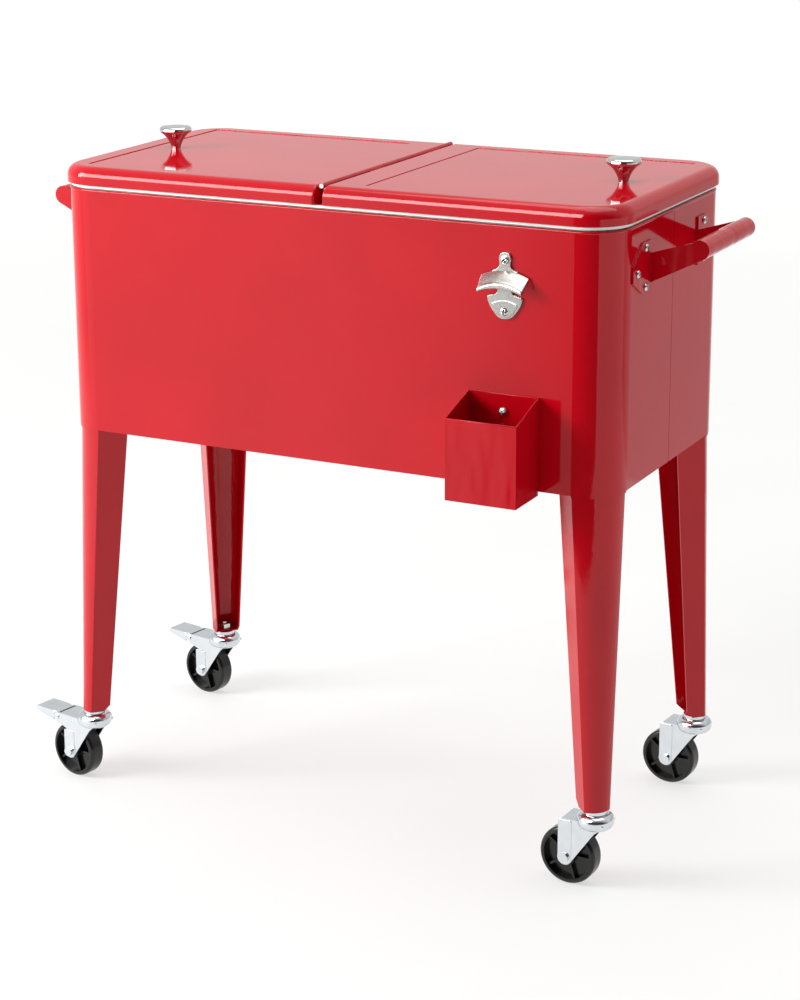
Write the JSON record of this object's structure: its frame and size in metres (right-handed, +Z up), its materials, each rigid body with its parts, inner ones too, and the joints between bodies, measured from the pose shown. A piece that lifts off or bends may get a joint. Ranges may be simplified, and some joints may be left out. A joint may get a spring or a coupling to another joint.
{
  "type": "patio cooler cart",
  "caption": "Insulated steel cooler box on tapered legs with swivel casters, with hinged half lids, side handles, a bottle opener and a cap catcher.",
  "frame": {"origin": "on the floor, under the middle of the box", "axes": "+X along the front from left to right, +Y from front to back, +Z up"},
  "size_m": [0.9455, 0.4712, 0.899],
  "materials": {
    "red_paint": "gloss",
    "white_plastic": "satin",
    "foam": "matte",
    "seal_rubber": "matte",
    "knob_chrome": "polished",
    "cast_metal": "satin",
    "screw_steel": "satin",
    "zinc_plate": "satin",
    "black_plastic": "satin"
  },
  "bodies": {
    "cart": {"front_shell": "red_paint", "rear_shell": "red_paint", "seam_strips": "black_plastic", "bottom_panel": "red_paint", "panel_rivets": "red_paint", "insulation": "foam", "inner_liner": "white_plastic", "rim_trim": "white_plastic", "hinge_bridge": "red_paint", "hinge_pin": "screw_steel", "bridge_screws": "screw_steel", "drain_tube": "white_plastic", "drain_nut": "white_plastic", "left_handle": "red_paint", "right_handle": "red_paint", "handle_screws": "screw_steel", "bottle_opener": "cast_metal", "front_screws": "screw_steel", "front_left_leg": "red_paint", "front_right_leg": "red_paint", "rear_left_leg": "red_paint", "rear_right_leg": "red_paint", "leg_bolts": "screw_steel", "stem_nuts": "screw_steel", "front_left_caster_stem": "zinc_plate", "front_right_caster_stem": "zinc_plate", "rear_left_caster_stem": "zinc_plate", "rear_right_caster_stem": "zinc_plate"},
    "left_lid": {"left_lid_skin": "red_paint", "left_lid_foam": "foam", "left_lid_pan": "white_plastic", "left_lid_gasket": "seal_rubber", "left_knob": "knob_chrome", "left_knob_screw": "screw_steel", "left_hinge_leaf": "red_paint"},
    "right_lid": {"right_lid_skin": "red_paint", "right_lid_foam": "foam", "right_lid_pan": "white_plastic", "right_lid_gasket": "seal_rubber", "right_knob": "knob_chrome", "right_knob_screw": "screw_steel", "right_hinge_leaf": "red_paint"},
    "catcher": {"cap_catcher": "red_paint"},
    "plug": {"drain_plug": "seal_rubber"},
    "front_left_swivel": {"front_left_caster_fork": "zinc_plate", "front_left_axle": "zinc_plate", "front_left_brake_pin": "zinc_plate"},
    "front_left_wheel_body": {"front_left_wheel": "black_plastic"},
    "front_left_brake": {"front_left_brake_pedal": "zinc_plate"},
    "front_right_swivel": {"front_right_caster_fork": "zinc_plate", "front_right_axle": "zinc_plate"},
    "front_right_wheel_body": {"front_right_wheel": "black_plastic"},
    "rear_left_swivel": {"rear_left_caster_fork": "zinc_plate", "rear_left_axle": "zinc_plate", "rear_left_brake_pin": "zinc_plate"},
    "rear_left_wheel_body": {"rear_left_wheel": "black_plastic"},
    "rear_left_brake": {"rear_left_brake_pedal": "zinc_plate"},
    "rear_right_swivel": {"rear_right_caster_fork": "zinc_plate", "rear_right_axle": "zinc_plate"},
    "rear_right_wheel_body": {"rear_right_wheel": "black_plastic"}
  },
  "joints": [
    {"name": "left_lid_hinge", "type": "hinge", "parent": "cart", "child": "left_lid", "pos_m": [0, 0, 0.868], "axis": [0, 1, 0], "range_deg": [0, 75]},
    {"name": "right_lid_hinge", "type": "hinge", "parent": "cart", "child": "right_lid", "pos_m": [0, 0, 0.868], "axis": [0, -1, 0], "range_deg": [0, 75]},
    {"name": "catcher_lift", "type": "slide", "parent": "cart", "child": "catcher", "axis": [0, 0, 1], "range_m": [0, 0.011]},
    {"name": "plug_pull", "type": "slide", "parent": "cart", "child": "plug", "axis": [0, 0, -1], "range_m": [0, 0.016]},
    {"name": "front_left_swivel_turn", "type": "hinge", "parent": "cart", "child": "front_left_swivel", "pos_m": [-0.376, -0.177, 0.104], "axis": [0, 0, 1], "continuous": true},
    {"name": "front_left_wheel_spin", "type": "hinge", "parent": "front_left_swivel", "child": "front_left_wheel_body", "pos_m": [-0.40937, -0.17051, 0.0385], "axis": [0.1908, 0.9816, 0], "continuous": true},
    {"name": "front_left_brake_press", "type": "hinge", "parent": "front_left_swivel", "child": "front_left_brake", "pos_m": [-0.43293, -0.16593, 0.0845], "axis": [-0.1908, -0.9816, 0], "range_deg": [0, 15]},
    {"name": "front_right_swivel_turn", "type": "hinge", "parent": "cart", "child": "front_right_swivel", "pos_m": [0.376, -0.177, 0.104], "axis": [0, 0, 1], "continuous": true},
    {"name": "front_right_wheel_spin", "type": "hinge", "parent": "front_right_swivel", "child": "front_right_wheel_body", "pos_m": [0.34208, -0.17463, 0.0385], "axis": [0.0698, 0.9976, 0], "continuous": true},
    {"name": "rear_left_swivel_turn", "type": "hinge", "parent": "cart", "child": "rear_left_swivel", "pos_m": [-0.376, 0.177, 0.104], "axis": [0, 0, 1], "continuous": true},
    {"name": "rear_left_wheel_spin", "type": "hinge", "parent": "rear_left_swivel", "child": "rear_left_wheel_body", "pos_m": [-0.40937, 0.18349, 0.0385], "axis": [0.1908, 0.9816, 0], "continuous": true},
    {"name": "rear_left_brake_press", "type": "hinge", "parent": "rear_left_swivel", "child": "rear_left_brake", "pos_m": [-0.43293, 0.18807, 0.0845], "axis": [-0.1908, -0.9816, 0], "range_deg": [0, 15]},
    {"name": "rear_right_swivel_turn", "type": "hinge", "parent": "cart", "child": "rear_right_swivel", "pos_m": [0.376, 0.177, 0.104], "axis": [0, 0, 1], "continuous": true},
    {"name": "rear_right_wheel_spin", "type": "hinge", "parent": "rear_right_swivel", "child": "rear_right_wheel_body", "pos_m": [0.34208, 0.17937, 0.0385], "axis": [0.0698, 0.9976, 0], "continuous": true}
  ]
}
